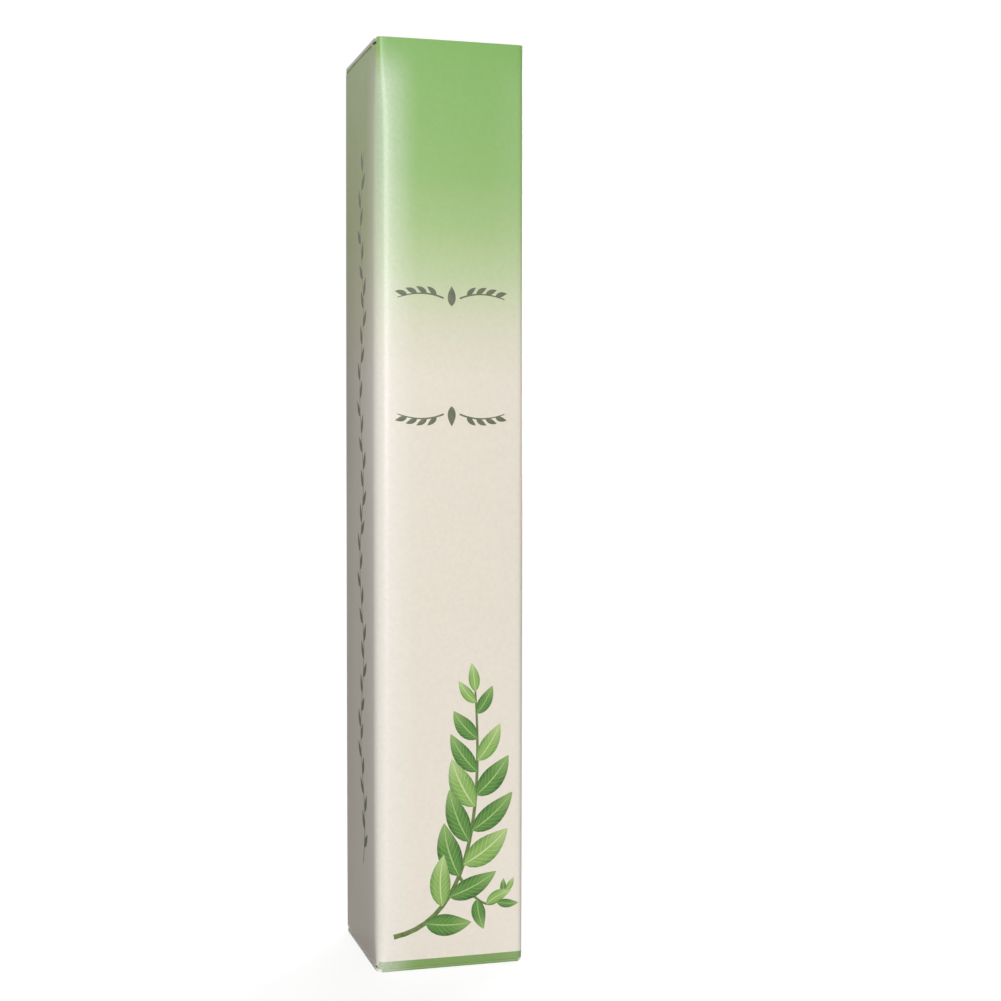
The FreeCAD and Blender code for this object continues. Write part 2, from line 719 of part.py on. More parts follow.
def make_feed_tube():
    """The fine tube from the nozzle's bore into the bristles."""
    top = "ferrule_top + feed_tube_reach"
    turned("feed_tube", rectangle("feed_tube_bore", "tip_top - feed_tube_seat", "feed_bore", top))


def make_brush_ferrule():
    """The metal sleeve that holds the bristles, with one crimped ring."""
    crimp = "(tip_top + ferrule_top) / 2"
    turned("brush_ferrule", [
        ("tip_radius", "cone_top"),
        ("ferrule_radius", "cone_top"),
        ("ferrule_radius", f"{crimp} - 2 * ferrule_crimp"),
        ("ferrule_radius - ferrule_crimp", crimp),
        ("ferrule_radius", f"{crimp} + 2 * ferrule_crimp"),
        ("ferrule_radius", "ferrule_top - ferrule_crimp"),
        ("ferrule_radius - ferrule_crimp", "ferrule_top"),
        ("tip_radius", "ferrule_top"),
    ])


def make_brush_tuft():
    """The bristles: gathered in the ferrule, fullest just above it and tapering to a blunt point."""
    tube_top = "ferrule_top + feed_tube_reach"
    turned("brush_tuft", [
        ("feed_bore", "tip_top"),
        ("tip_radius", "tip_top"),
        ("tip_radius", "ferrule_top"),
        ("tuft_belly", "ferrule_top + tuft_belly_rise", "tuft_arc"),
        ("tuft_point", "tuft_top"),
        ("0", "tuft_top"),
        ("0", tube_top),
        ("feed_bore", tube_top),
    ])


def make_cap():
    """The outer cap, a shell with a domed top."""
    body = turned("cap", [
        ("cap_bore", "cap_base"),
        ("pen_radius", "cap_base"),
        ("pen_radius", "pen_length"),
        ("0", "pen_length"),
        ("0", "cap_ceiling"),
        ("cap_bore", "cap_ceiling"),
    ])
    round_edges(body, "cap_dome", "cap_dome_radius", circle_at("pen_radius", "pen_length"))
    round_edges(body, "cap_inner_round", "cap_inner_radius", circle_at("cap_bore", "cap_ceiling"))


def make_cap_liner():
    """The inner cap: a skirt that grips the nozzle's neck, and a cup over the brush."""
    cup_bore = "liner_radius - liner_wall"
    turned("cap_liner", [
        ("liner_grip", "liner_base"),
        ("cap_bore", "liner_base"),
        ("cap_bore", "liner_step + liner_wall"),
        ("liner_radius", "liner_step + liner_wall"),
        ("liner_radius", "cap_ceiling"),
        ("0", "cap_ceiling"),
        ("0", "liner_ceiling"),
        (cup_bore, "liner_ceiling"),
        (cup_bore, "liner_step"),
        ("liner_grip", "liner_step"),
    ])


def write_parts():
    """Check every object and solid, then write one file for each body."""
    document.recompute()
    failed = [item.Name for item in document.Objects if {"Invalid", "Error"} & set(item.State)]
    if failed:
        raise RuntimeError(f"these objects failed: {failed}")
    bodies = [item for item in document.Objects if item.isDerivedFrom("PartDesign::Body")]
    for body in bodies:
        if body.Shape.isNull() or not body.Shape.isValid() or len(body.Shape.Solids) != 1:
            raise RuntimeError(f"{body.Label} is not one sound solid")
    os.makedirs("parts", exist_ok=True)
    for body in bodies:
        body.Shape.exportStep(f"parts/{body.Label}.step")
    print(len(bodies), "pieces written")


make_sleeve()
make_glue_flap()
for end in ("top", "bottom"):
    make_lid(end)
    make_tuck_flap(end)
    for side in ("left", "right"):
        make_dust_flap(end, side)
make_twist_knob()
make_end_plug()
make_drive_sleeve()
make_ratchet_ring()
make_barrel()
make_thread_guide()
make_lead_screw()
make_piston()
make_seal("piston_seal", "seal_floor", "barrel_bore - film_gap", "seal_base + seal_play", "seal_height")
make_oil_charge()
make_nozzle()
make_seal(
    "nozzle_seal_ring",
    "nozzle_seal_floor",
    "barrel_bore",
    "nozzle_seal_base + seal_play",
    "nozzle_seal_height",
)
make_trim_ring()
make_feed_tube()
make_brush_ferrule()
make_brush_tuft()
make_cap()
make_cap_liner()
write_parts()
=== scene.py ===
import math

import bpy
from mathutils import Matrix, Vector


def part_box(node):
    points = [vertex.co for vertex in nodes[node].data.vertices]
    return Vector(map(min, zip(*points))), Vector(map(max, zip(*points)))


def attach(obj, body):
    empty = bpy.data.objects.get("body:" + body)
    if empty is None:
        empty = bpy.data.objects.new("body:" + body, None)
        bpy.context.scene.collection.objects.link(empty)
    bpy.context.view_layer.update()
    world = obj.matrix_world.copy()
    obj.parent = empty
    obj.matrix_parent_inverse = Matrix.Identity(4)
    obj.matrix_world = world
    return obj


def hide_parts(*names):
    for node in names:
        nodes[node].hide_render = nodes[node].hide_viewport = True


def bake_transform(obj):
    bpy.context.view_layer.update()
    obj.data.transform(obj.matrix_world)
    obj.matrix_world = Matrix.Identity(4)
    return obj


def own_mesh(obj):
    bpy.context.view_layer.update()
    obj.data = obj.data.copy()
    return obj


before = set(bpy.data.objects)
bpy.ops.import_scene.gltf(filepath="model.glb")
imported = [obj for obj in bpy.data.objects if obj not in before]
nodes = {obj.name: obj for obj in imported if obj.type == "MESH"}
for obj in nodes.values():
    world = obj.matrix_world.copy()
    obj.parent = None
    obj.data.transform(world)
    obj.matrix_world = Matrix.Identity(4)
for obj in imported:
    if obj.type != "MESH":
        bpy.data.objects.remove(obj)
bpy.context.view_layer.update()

# Lengths of the carton, taken from the frame, in metres
MM = 0.001
CREASE_GAP = 0.03 * MM
LID_LOW, LID_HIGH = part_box("top_lid")
TUCK_LOW, TUCK_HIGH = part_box("top_tuck_flap")
DUST_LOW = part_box("top_dust_flap_left")[0]
SEAM_LOW, SEAM_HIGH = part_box("glue_flap")
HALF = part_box("carton_sleeve")[1].x
HEIGHT = LID_HIGH.z
BOARD = LID_HIGH.z - LID_LOW.z
HALF_BOARD = BOARD / 2
INNER_HALF = HALF - BOARD
BACK_PANEL_TOP = LID_LOW.z - CREASE_GAP
SIDE_PANEL_TOP = DUST_LOW.z - CREASE_GAP

# Upright creases: their radius, the softer one at the front left, and the ends where it tightens
CREASE_RADIUS = 0.9 * MM
SOFT_CREASE = 1.8 * MM
SOFTENS_BELOW_TOP = 14 * MM
SOFTENS_ABOVE_FOOT = 4 * MM

# How far the creases are drawn in and the panels bulge
CREASE_DRAW = 0.1 * MM
FRONT_BULGE = 0.22 * MM
SIDE_BULGE = 0.45 * MM
BULGE_POWER = 2.2

# Steps round a lid's hinge crease, and how much its corners are cut back there
HINGE_STEPS = (0.02, 0.1, 0.3, 0.6, 1.0)
HINGE_NOTCH = 0.7 * MM

# The tongue: where it is straight again below its bend, its round corners, and the steps round them
TONGUE_NECK = 0.6 * MM
TONGUE_CORNER = 3.2 * MM
CORNER_STEPS = [step * MM for step in (2.2, 1.4, 0.8, 0.35, 0.1, 0.0)]

# Heights of the green band at the foot, how far the print stands on and in the board, and steps along a stem
BAND_FRONT = 1.5 * MM
BAND_SIDE = 0.7 * MM
PRINT_RISE = 0.012 * MM
PRINT_SINK = 0.02 * MM
STEM_STEPS = 24

# Places of the inks in the front panel's list of materials
LIGHT, STEM, INK = 1, 2, 3

# How far the green ground wanders up and down, and the length of its waves
GROUND_DRIFT = 3.0 * MM
GROUND_WAVE = 30 * MM

# Whitened creases, a painted highlight on the crease between front and left and light rubbing wear on the
# others: where the whitening starts and is full beside the crease, and where it fades below the top
WEAR_AND_HIGHLIGHT_START = 6.5 * MM
WEAR_AND_HIGHLIGHT_FULL = 0.3 * MM
WEAR_AND_HIGHLIGHT_FADE = 7 * MM
SOFT_CREASE_WEAR_AND_HIGHLIGHT = 0.5
WEAR_OTHERS = 0.06

# The turn from one hair of the brush to the next, which spreads them evenly
HAIR_TURN = math.radians(137.508)

# The clear film over the print
FILM = {"Coat_Weight": 0.4, "Coat_Roughness": 0.2, "Specular_IOR_Level": 0.3}

# Each light: the way towards it, its level, and its spread in degrees
KEY_LIGHT = (Vector((-0.25, -0.94, 0.24)), 0.94, 44)
BACK_LIGHT = (Vector((0.50, 0.80, 0.33)), 0.95, 50)

# The surroundings: their level as a light, the way towards their dark side, how it fades, and its depth
SKY_LEVEL = 0.18
DARK_SIDE = Vector((0.035, 0.999, 0))
DARK_ASIDE = (0.86, 0.97)
DARK_UPWARD = (0.05, 0.45)
DARK_DEPTH = 0.9

# Where the camera stands, the way it looks, and its lens
CAMERA_AT = Vector((-61.43, -235.26, 75.77)) * MM
CAMERA_LOOKS = Vector((0.25437, 0.96648, -0.03498))
CAMERA_LENS = 58.33
CAMERA_SHIFT = 0.0654


def srgb(red, green, blue):
    """A colour written in display values from 0 to 255, as the linear colour that shaders take."""
    shares = [level / 255 for level in (red, green, blue)]
    return tuple(s / 12.92 if s <= 0.04045 else ((s + 0.055) / 1.055) ** 2.4 for s in shares) + (1.0,)


class Shader:
    """One material, and short ways to add the nodes that feed its surface."""

    def __init__(self, name, **settings):
        self.material = bpy.data.materials.new(name)
        self.material.use_nodes = True
        self.tree = self.material.node_tree
        self.surface = self.tree.nodes["Principled BSDF"]
        for socket, given in settings.items():
            self.surface.inputs[socket.replace("_", " ")].default_value = given

    def add(self, kind, inputs, **properties):
        """A new node, with each input linked or set."""
        made = self.tree.nodes.new("ShaderNode" + kind)
        for name, given in properties.items():
            setattr(made, name, given)
        for socket, given in inputs.items():
            if isinstance(given, bpy.types.NodeSocket):
                self.tree.links.new(given, made.inputs[socket])
            else:
                made.inputs[socket].default_value = given
        return made

    def feed(self, socket, output):
        """Links an output to a socket of the surface."""
        self.tree.links.new(output, self.surface.inputs[socket])

    def point(self):
        """The point on the piece, in the row frame at rest."""
        return self.add("TexCoord", {}).outputs["Object"]

    def axis(self, letter):
        """One coordinate of the point on the piece."""
        return self.add("SeparateXYZ", {"Vector": self.point()}).outputs[letter]

    def math(self, operation, *inputs):
        """The result of one sum."""
        return self.add("Math", dict(enumerate(inputs)), operation=operation).outputs[0]

    def share(self, given, low, high):
        """How far a measure has come from low to high, from 0 to 1, eased at both ends."""
        inputs = {"Value": given, "From Min": low, "From Max": high}
        return self.add("MapRange", inputs, interpolation_type="SMOOTHSTEP").outputs["Result"]

    def noise(self, grain, detail=3.0, stretch=(1.0, 1.0, 1.0)):
        """Noise whose lumps are about grain long."""
        placed = self.add("VectorMath", {0: self.point(), 1: stretch}, operation="MULTIPLY").outputs[0]
        inputs = {"Vector": placed, "Scale": 1 / grain, "Detail": detail}
        return self.add("TexNoise", inputs).outputs["Fac"]

    def ramp(self, share, stops):
        """A colour that runs through the stops, each a place and a colour."""
        made = self.add("ValToRGB", {"Fac": share})
        elements = made.color_ramp.elements
        while len(elements) < len(stops):
            elements.new(1.0)
        for element, (place, colour) in zip(elements, stops):
            element.position = place
            element.color = colour
        return made.outputs["Color"]

    def mix(self, share, first, second, way="MIX"):
        """One colour over another."""
        inputs = {"Factor": share, 6: first, 7: second}
        return self.add("Mix", inputs, data_type="RGBA", blend_type=way).outputs[2]

    def between(self, given, low, high):
        """A level from low to high that follows a measure from 0 to 1."""
        return self.add("MapRange", {"Value": given, "To Min": low, "To Max": high}).outputs["Result"]

    def roughness(self, given, low, high):
        """Roughness that follows a measure from 0 to 1."""
        self.feed("Roughness", self.between(given, low, high))

    def bump(self, height, depth, strength=1.0):
        """Small relief of the surface."""
        made = self.add("Bump", {"Height": height, "Distance": depth, "Strength": strength})
        self.feed("Normal", made.outputs["Normal"])


def printed_colour(shader):
    """The printed ground: green at the top running out to cream, and a green band at the foot. On the side
    panels its green is lighter and yellower, which is painted warm light.
    """
    wave = shader.math("SUBTRACT", shader.noise(GROUND_WAVE), 0.5)
    height = shader.math("ADD", shader.axis("Z"), shader.math("MULTIPLY", wave, GROUND_DRIFT))
    front_stops = [
        (0.100, srgb(238, 230, 216)),
        (0.400, srgb(234, 226, 211)),
        (0.640, srgb(231, 222, 207)),
        (0.700, srgb(215, 215, 188)),
        (0.760, srgb(185, 203, 153)),
        (0.805, srgb(164, 192, 128)),
        (0.860, srgb(143, 183, 107)),
        (1.000, srgb(127, 175, 91)),
    ]
    # Side panels: a lighter, yellower green than the front, painted light for the warm light they catch
    painted_light_side_stops = [
        (0.640, srgb(231, 222, 207)),
        (0.720, srgb(214, 211, 176)),
        (0.820, srgb(186, 196, 130)),
        (1.000, srgb(160, 184, 104)),
    ]
    risen = shader.math("DIVIDE", height, HEIGHT)
    on_side = shader.share(shader.math("ABSOLUTE", shader.axis("X")), INNER_HALF, HALF - 0.2 * MM)
    ground = shader.mix(on_side, shader.ramp(risen, front_stops), shader.ramp(risen, painted_light_side_stops))
    on_front = shader.math("LESS_THAN", shader.axis("Y"), -INNER_HALF)
    band_top = shader.math("MULTIPLY_ADD", on_front, BAND_FRONT - BAND_SIDE, BAND_SIDE)
    in_band = shader.math("LESS_THAN", shader.axis("Z"), band_top)
    return shader.mix(in_band, ground, srgb(131, 164, 96))


def crease_wear_and_highlight(shader):
    """How much the print is whitened along the upright creases: light rubbing wear on all, and on the one
    between front and left mostly a painted highlight.
    """
    across, along = shader.axis("X"), shader.axis("Y")
    inset = shader.math("MINIMUM", shader.math("ABSOLUTE", across), shader.math("ABSOLUTE", along))
    near = shader.share(inset, HALF - WEAR_AND_HIGHLIGHT_START, HALF - WEAR_AND_HIGHLIGHT_FULL)
    # The whitening fades out towards the top, as the painted highlight does
    near_top = shader.share(shader.axis("Z"), HEIGHT - WEAR_AND_HIGHLIGHT_FADE, HEIGHT)
    below_top = shader.math("SUBTRACT", 1.0, near_top)
    soft = shader.math("LESS_THAN", shader.math("MAXIMUM", across, along), 0.0)
    uneven = shader.between(shader.noise(0.4 * MM, 5.0), 0.55, 1.0)
    # The front left crease gets the painted highlight, the other creases only light wear
    most = shader.between(soft, WEAR_OTHERS, SOFT_CREASE_WEAR_AND_HIGHLIGHT)
    amount = shader.math("MULTIPLY", uneven, shader.math("MULTIPLY", most, below_top))
    return shader.math("MULTIPLY", near, amount)


def raw_colour(shader):
    """Unprinted board, with short fibres and a few darker specks."""
    fibres = shader.noise(0.35 * MM, 4.0, (1.0, 1.0, 0.25))
    grey = shader.ramp(fibres, [(0.3, srgb(196, 190, 180)), (0.7, srgb(226, 221, 212))])
    specks = shader.share(shader.noise(0.5 * MM, 1.0), 0.68, 0.74)
    return shader.mix(specks, grey, srgb(168, 160, 148))


def printed_board():
    """The printed and filmed outside of the board."""
    shader = Shader("Printed board", **FILM)
    # Whitening of the creases: a painted highlight on the front left one, light rubbing wear on the rest
    colour = shader.mix(crease_wear_and_highlight(shader), printed_colour(shader), srgb(250, 250, 244))
    dull, clean = (0.96, 0.96, 0.96, 1), (1, 1, 1, 1)
    mottle = shader.ramp(shader.noise(0.6 * MM), [(0.3, dull), (0.7, clean)])
    shader.feed("Base Color", shader.mix(1.0, colour, mottle, "MULTIPLY"))
    shader.roughness(shader.noise(4 * MM), 0.34, 0.5)
    shader.bump(shader.noise(0.45 * MM, 2.0), 0.004 * MM)
    return shader.material


def raw_board():
    """The unprinted inside of the board."""
    shader = Shader("Raw board", Specular_IOR_Level=0.25)
    shader.feed("Base Color", raw_colour(shader))
    shader.roughness(shader.noise(2 * MM), 0.78, 0.92)
    shader.bump(shader.noise(0.3 * MM, 4.0), 0.015 * MM)
    return shader.material


def cut_edge():
    """The cut edge of the board, pale and layered."""
    shader = Shader("Cut edge", Specular_IOR_Level=0.2)
    layers = shader.noise(0.12 * MM, 3.0, (0.2, 0.2, 1.0))
    colour = shader.ramp(layers, [(0.3, srgb(240, 238, 231)), (0.7, srgb(252, 251, 248))])
    shader.feed("Base Color", colour)
    shader.roughness(layers, 0.8, 0.95)
    shader.bump(layers, 0.004 * MM)
    return shader.material


def flap_board():
    """A folded-in flap: printed on the side that looks out of the carton, raw on the other."""
    shader = Shader("Flap board", Specular_IOR_Level=0.3)
    normal = shader.add("TexCoord", {}).outputs["Normal"]
    facing = shader.add("SeparateXYZ", {"Vector": normal}).outputs["Z"]
    end = shader.math("SIGN", shader.math("SUBTRACT", shader.axis("Z"), HEIGHT / 2))
    outside = shader.math("GREATER_THAN", shader.math("MULTIPLY", facing, end), 0.5)
    crease = shader.math("GREATER_THAN", shader.math("ABSOLUTE", shader.axis("X")), INNER_HALF)
    outside = shader.math("MAXIMUM", outside, crease)
    shader.feed("Base Color", shader.mix(outside, raw_colour(shader), printed_colour(shader)))
    shader.roughness(outside, 0.85, 0.45)
    shader.bump(shader.noise(0.35 * MM, 3.0), 0.008 * MM)
    return shader.material


def leaf_print(name, deep, middle, pale):
    """A printed leaf, with a pale midrib and side veins, drawn by its own length and breadth."""
    shader = Shader(name, **FILM)
    place = shader.add("SeparateXYZ", {"Vector": shader.add("UVMap", {}, uv_map="Print").outputs["UV"]})
    side = shader.math("ABSOLUTE", shader.math("SUBTRACT", place.outputs["Y"], 0.5))
    shade = shader.math("ADD", side, shader.math("MULTIPLY", shader.noise(1.5 * MM), 0.22))
    colour = shader.ramp(shade, [(0.12, middle), (0.38, middle), (0.62, deep)])
    tip = shader.share(place.outputs["X"], 0.45, 1.0)
    colour = shader.mix(shader.math("MULTIPLY", tip, 0.45), colour, pale)
    swept = shader.math("MULTIPLY_ADD", side, -0.5, place.outputs["X"])
    stripe = shader.math("PINGPONG", swept, 0.055)
    vein = shader.math("SUBTRACT", 1.0, shader.share(stripe, 0.003, 0.010))
    rib = shader.math("SUBTRACT", 1.0, shader.share(side, 0.02, 0.045))
    vein, rib = shader.math("MULTIPLY", vein, 0.4), shader.math("MULTIPLY", rib, 0.8)
    lines = shader.math("MAXIMUM", vein, rib)
    shader.feed("Base Color", shader.mix(lines, colour, pale))
    shader.roughness(shader.noise(3 * MM), 0.34, 0.5)
    return shader.material


def ink_print(name, dark, light):
    """Plain ink, a little uneven."""
    shader = Shader(name, **FILM)
    shader.feed("Base Color", shader.ramp(shader.noise(0.8 * MM), [(0.3, dark), (0.7, light)]))
    shader.roughness(shader.noise(3 * MM), 0.36, 0.5)
    return shader.material


def moulded(name, dark, light, low, high):
    """Moulded plastic with faint flow marks and a fine skin."""
    shader = Shader(name, Subsurface_Weight=0.06, Subsurface_Scale=0.5 * MM, Specular_IOR_Level=0.5)
    flow = shader.noise(2.5 * MM, 3.0, (1.0, 1.0, 0.3))
    shader.feed("Base Color", shader.ramp(flow, [(0.3, dark), (0.7, light)]))
    shader.roughness(shader.noise(1.2 * MM), low, high)
    shader.bump(shader.noise(0.2 * MM, 2.0), 0.004 * MM)
    return shader.material


def clear_plastic(name, tint, low, high, cloud):
    """See-through plastic, more or less frosted."""
    shader = Shader(name, IOR=1.49, Transmission_Weight=cloud)
    colour = shader.ramp(shader.noise(4 * MM), [(0.3, tint), (0.7, srgb(250, 251, 248))])
    shader.feed("Base Color", colour)
    shader.roughness(shader.noise(1.0 * MM), low, high)
    shader.bump(shader.noise(0.9 * MM, 2.0), 0.002 * MM)
    return shader.material


def turned_metal():
    """Metal with fine rings left by turning."""
    shader = Shader("Turned metal", Metallic=1.0)
    rings = shader.noise(0.12 * MM, 3.0, (0.05, 0.05, 1.0))
    colour = shader.ramp(rings, [(0.3, srgb(186, 188, 190)), (0.7, srgb(222, 223, 224))])
    shader.feed("Base Color", colour)
    shader.roughness(rings, 0.2, 0.34)
    shader.bump(rings, 0.004 * MM)
    return shader.material


def seal_rubber():
    """Dark moulded rubber."""
    shader = Shader("Seal rubber", Specular_IOR_Level=0.35)
    dust = shader.noise(0.4 * MM, 4.0)
    shader.feed("Base Color", shader.ramp(dust, [(0.3, srgb(46, 48, 47)), (0.75, srgb(72, 74, 72))]))
    shader.roughness(dust, 0.6, 0.78)
    shader.bump(dust, 0.01 * MM)
    return shader.material


def nail_oil():
    """Pale golden oil."""
    shader = Shader("Nail oil", IOR=1.47, Transmission_Weight=1.0)
    swirl = shader.noise(6 * MM, 2.0)
    colour = shader.ramp(swirl, [(0.3, srgb(243, 214, 120)), (0.7, srgb(250, 229, 152))])
    shader.feed("Base Color", colour)
    shader.roughness(swirl, 0.0, 0.04)
    return shader.material


def brush_hair():
    """Pale tapered hair, darker towards the root."""
    shader = Shader("Brush hair", Specular_IOR_Level=0.45)
    low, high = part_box("brush_tuft")
    root = shader.share(shader.axis("Z"), low.z, high.z)
    streaks = shader.math("MULTIPLY", shader.noise(0.3 * MM), 0.3)
    tone = shader.math("MULTIPLY_ADD", root, 0.7, streaks)
    colour = shader.ramp(tone, [(0.2, srgb(176, 160, 132)), (0.8, srgb(238, 230, 212))])
    shader.feed("Base Color", colour)
    shader.roughness(shader.noise(0.5 * MM), 0.35, 0.55)
    return shader.material


def piece(name, points, faces, materials, face_slots=None, places=None, sharp=35):
    """A mesh of its own, smooth but for sharp edges; places gives each point its place in the print."""
    mesh = bpy.data.meshes.new(name)
    mesh.from_pydata(points, [], faces)
    for material in materials:
        mesh.materials.append(material)
    if face_slots:
        mesh.polygons.foreach_set("material_index", face_slots)
    if places:
        layer = mesh.uv_layers.new(name="Print")
        for loop in mesh.loops:
            layer.data[loop.index].uv = places[loop.vertex_index]
    mesh.shade_smooth()
    mesh.set_sharp_from_angle(angle=math.radians(sharp))
    made = bpy.data.objects.new(name, mesh)
    bpy.context.scene.collection.objects.link(made)
    return made


def skin(rings, first=0):
    """Faces of a closed skin over rings of equal count, with both ends capped."""
    count = len(rings[0])
    faces = []
    for row in range(len(rings) - 1):
        low = first + row * count
        high = low + count
        for i in range(count):
            j = (i + 1) % count
            faces.append((low + i, low + j, high + j, high + i))
    last = first + (len(rings) - 1) * count
    faces.append(tuple(reversed(range(first, first + count))))
    faces.append(tuple(range(last, last + count)))
    return faces


def evenly(low, high, steps):
    """Places from low to high, both included."""
    return [low + (high - low) * i / steps for i in range(steps + 1)]


def drawn_in(point):
    """A point of the folded sleeve, with creases drawn in a little and panels that bulge between them."""
    x, y, z = point
    fullness = math.sin(math.pi * min(1.0, max(0.0, z / HEIGHT))) ** 0.6
    side_bulge, front_bulge = SIDE_BULGE * fullness, FRONT_BULGE * fullness
    edge_y = abs(y / HALF) ** BULGE_POWER
    edge_x = abs(x / HALF) ** BULGE_POWER
    wider = (side_bulge - (side_bulge + CREASE_DRAW) * edge_y) / HALF
    deeper = (front_bulge - (front_bulge + CREASE_DRAW) * edge_x) / HALF
    return (x * (1 + wider), y * (1 + deeper), z)


def sleeve_outline(front_left):
    """Points round the sleeve from its front, on the outside and the inside, for one front left radius."""
    radii = [CREASE_RADIUS, CREASE_RADIUS, CREASE_RADIUS, front_left]
    outline = []
    for turn in range(4):
        facing = math.radians(90 * (turn - 1))
        out = Vector((math.cos(facing), math.sin(facing)))
        along = Vector((-out.y, out.x))
        for place in evenly(radii[turn - 1] - HALF, HALF - radii[turn], 24):
            outline.append((out * HALF + along * place, out * INNER_HALF + along * place))
        centre = (out + along) * (HALF - radii[turn])
        for step in range(1, 12):
            angle = math.radians(7.5 * step)
            way = out * math.cos(angle) + along * math.sin(angle)
            outline.append((centre + way * radii[turn], centre + way * (radii[turn] - BOARD)))
    return outline


def softness(z):
    """How soft the front left crease is at that height: tight at both ends, where the closures hold it."""
    part = max(0.0, min(1.0, z / SOFTENS_ABOVE_FOOT, (HEIGHT - z) / SOFTENS_BELOW_TOP))
    return part * part * (3 - 2 * part)


def panel_ends(y):
    """Lowest and highest point of the panel at that depth."""
    if y < -INNER_HALF:
        return HEIGHT - BACK_PANEL_TOP, HEIGHT
    if y > INNER_HALF:
        return 0.0, BACK_PANEL_TOP
    return HEIGHT - SIDE_PANEL_TOP, SIDE_PANEL_TOP


def carton_sleeve(printed, raw, edge):
    """The four panels of the carton as one creased and slightly bowed tube of board."""
    outline, soft_outline = sleeve_outline(CREASE_RADIUS), sleeve_outline(SOFT_CREASE)
    ends = sorted({0.0, HEIGHT - BACK_PANEL_TOP, HEIGHT - SIDE_PANEL_TOP})
    low_rim = ends[:-1]
    high_rim = [HEIGHT - end for end in reversed(low_rim)]
    levels = low_rim + evenly(ends[-1], HEIGHT - ends[-1], 44) + high_rim
    columns = len(outline)
    shown = set()
    for i in range(columns):
        middle = (outline[i][0].y + outline[(i + 1) % columns][0].y) / 2
        low, high = panel_ends(middle)
        for j in range(len(levels) - 1):
            if low < (levels[j] + levels[j + 1]) / 2 < high:
                shown.add((i, j))
    points, index = [], {}

    def corner(i, j, inside):
        """The number of a point of the outside or the inside, made when first asked for."""
        key = (i % columns, j, inside)
        if key not in index:
            place = outline[key[0]][inside].lerp(soft_outline[key[0]][inside], softness(levels[j]))
            index[key] = len(points)
            points.append(drawn_in((place.x, place.y, levels[j])))
        return index[key]

    faces, slots = [], []
    for i, j in sorted(shown):
        loop = [(i, j), (i + 1, j), (i + 1, j + 1), (i, j + 1)]
        faces.append(tuple(corner(*place, 0) for place in loop))
        faces.append(tuple(corner(*place, 1) for place in (loop[0], loop[3], loop[2], loop[1])))
        slots += [0, 1]
        rims = [
            ((i - 1) % columns, j, (i, j + 1), (i, j)),
            ((i + 1) % columns, j, (i + 1, j), (i + 1, j + 1)),
            (i, j - 1, (i, j), (i + 1, j)),
            (i, j + 1, (i + 1, j + 1), (i, j + 1)),
        ]
        for beside, level, start, stop in rims:
            if (beside, level) not in shown:
                faces.append((corner(*start, 1), corner(*stop, 1), corner(*stop, 0), corner(*start, 0)))
                slots.append(2)
    made = piece("carton_shell", points, faces, [printed, raw, edge], slots)
    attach(made, "carton")
    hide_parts("carton_sleeve")


def seam_flap(printed, raw, edge):
    """The glued seam flap, lying against the inside of the right panel."""
    rings = []
    for z in evenly(SEAM_LOW.z, SEAM_HIGH.z, 24):
        across = evenly(SEAM_LOW.y, SEAM_HIGH.y, 8)
        wall = [drawn_in((SEAM_HIGH.x, y, z)) for y in across]
        room = [drawn_in((SEAM_LOW.x, y, z)) for y in reversed(across)]
        rings.append(wall + room)
    ring = [0] * 8 + [2] + [1] * 8 + [2]
    slots = ring * (len(rings) - 1) + [2, 2]
    points = [point for row in rings for point in row]
    made = piece("seam_flap", points, skin(rings), [printed, raw, edge], slots)
    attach(made, "carton")
    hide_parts("glue_flap")


def closure_rows():
    """Rows of the top lid and its tongue from the hinge: place, way out, half thickness and half width."""
    hinge_y = LID_HIGH.y - HALF_BOARD
    middle = LID_HIGH.z - HALF_BOARD
    lid_width = LID_HIGH.x
    up, ahead = Vector((0, 0, 1)), Vector((0, -1, 0))
    rows = []
    for step in HINGE_STEPS:
        thick = HALF_BOARD * math.sqrt(1 - (1 - step) ** 2)
        place = Vector((0, hinge_y + HALF_BOARD * (1 - step), middle))
        rows.append((place, up, thick, lid_width - HINGE_NOTCH))
    for part in (0.4, 0.8):
        y = hinge_y - part * HINGE_NOTCH
        rows.append((Vector((0, y, middle)), up, HALF_BOARD, lid_width - HINGE_NOTCH * (1 - part)))
    bend = Vector((0, TUCK_HIGH.y, LID_LOW.z))
    for y in evenly(hinge_y - 1.2 * HINGE_NOTCH, bend.y, 16)[:-1]:
        rows.append((Vector((0, y, middle)), up, HALF_BOARD, lid_width))
    thick = (BOARD - CREASE_GAP) / 2
    for angle in evenly(0, 90, 6):
        way = up * math.cos(math.radians(angle)) + ahead * math.sin(math.radians(angle))
        width = lid_width if angle < 50 else TUCK_HIGH.x
        rows.append((bend + way * (CREASE_GAP + thick), way, thick, width))
    tongue_y = (TUCK_LOW.y + TUCK_HIGH.y) / 2
    for z in evenly(bend.z - TONGUE_NECK, TUCK_LOW.z + TONGUE_CORNER, 8):
        rows.append((Vector((0, tongue_y, z)), ahead, HALF_BOARD, TUCK_HIGH.x))
    for rise in CORNER_STEPS:
        reach = math.sqrt(TONGUE_CORNER ** 2 - (TONGUE_CORNER - rise) ** 2)
        place = Vector((0, tongue_y, TUCK_LOW.z + rise))
        rows.append((place, ahead, HALF_BOARD, TUCK_HIGH.x - TONGUE_CORNER + reach))
    return rows, bend


def at_end(end, point):
    """A point of the top of the carton, or the same point turned over to the bottom."""
    x, y, z = point
    return Vector((x, y, z)) if end == "top" else Vector((x, -y, HEIGHT - z))


